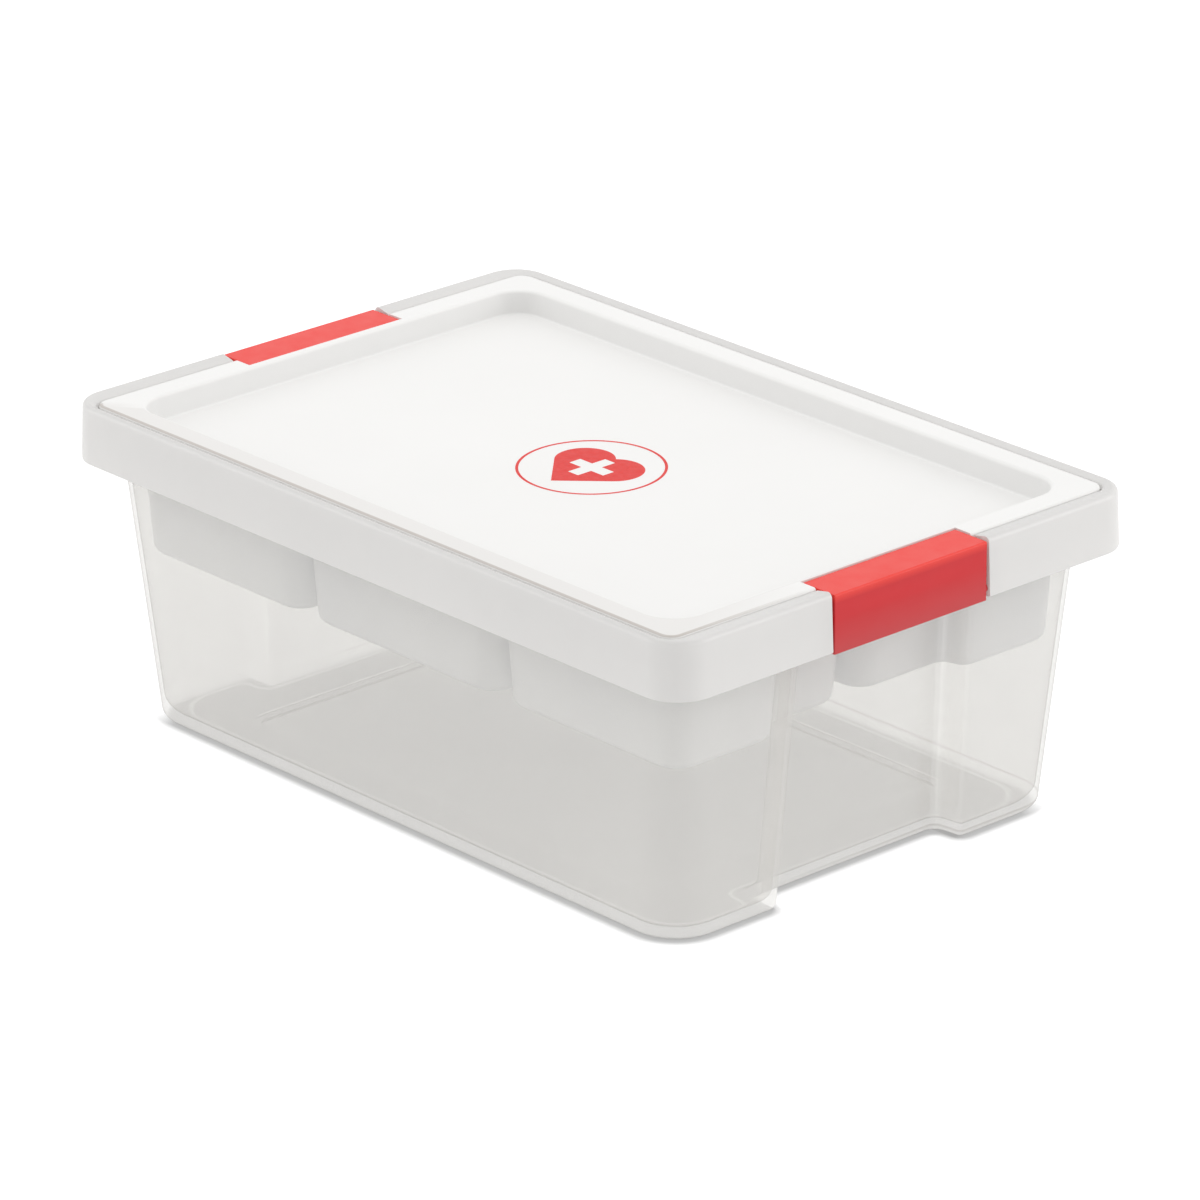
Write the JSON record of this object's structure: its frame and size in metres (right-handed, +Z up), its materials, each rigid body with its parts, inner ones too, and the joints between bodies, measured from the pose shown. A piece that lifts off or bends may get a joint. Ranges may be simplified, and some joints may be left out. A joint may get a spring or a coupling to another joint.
{
  "type": "first aid storage box",
  "caption": "Clear lidded storage box for first aid supplies, with a hanging compartment tray, a sunken lid and hinged end latches.",
  "frame": {"origin": "on the ground under the middle of the box", "axes": "+Z up, +X along the length towards the right-hand latch, -Y towards the front"},
  "size_m": [0.4, 0.27, 0.1487],
  "materials": {
    "clear_tub": "satin translucent",
    "clear_tray": "satin translucent",
    "white_lid": "satin",
    "red_latch": "satin",
    "red_print": "matte"
  },
  "bodies": {
    "tub": {"tub": "clear_tub"},
    "tray": {"tray": "clear_tray"},
    "lid": {"lid": "white_lid", "badge_ring": "red_print", "badge_heart": "red_print"},
    "latch_left": {"latch_left": "red_latch"},
    "latch_right": {"latch_right": "red_latch"}
  },
  "joints": [
    {"name": "latch_right_hinge", "type": "hinge", "parent": "tub", "child": "latch_right", "pos_m": [0.19693, 0, 0.1256], "axis": [0, 1, 0], "range_deg": [0, 110]},
    {"name": "latch_left_hinge", "type": "hinge", "parent": "tub", "child": "latch_left", "pos_m": [-0.19693, 0, 0.1256], "axis": [0, -1, 0], "range_deg": [0, 110]},
    {"name": "tray_lift", "type": "slide", "parent": "tub", "child": "tray", "axis": [0, 0, 1], "range_m": [0, 0.09]},
    {"name": "lid_lift", "type": "slide", "parent": "tray", "child": "lid", "axis": [0, 0, 1], "range_m": [0, 0.072]}
  ]
}
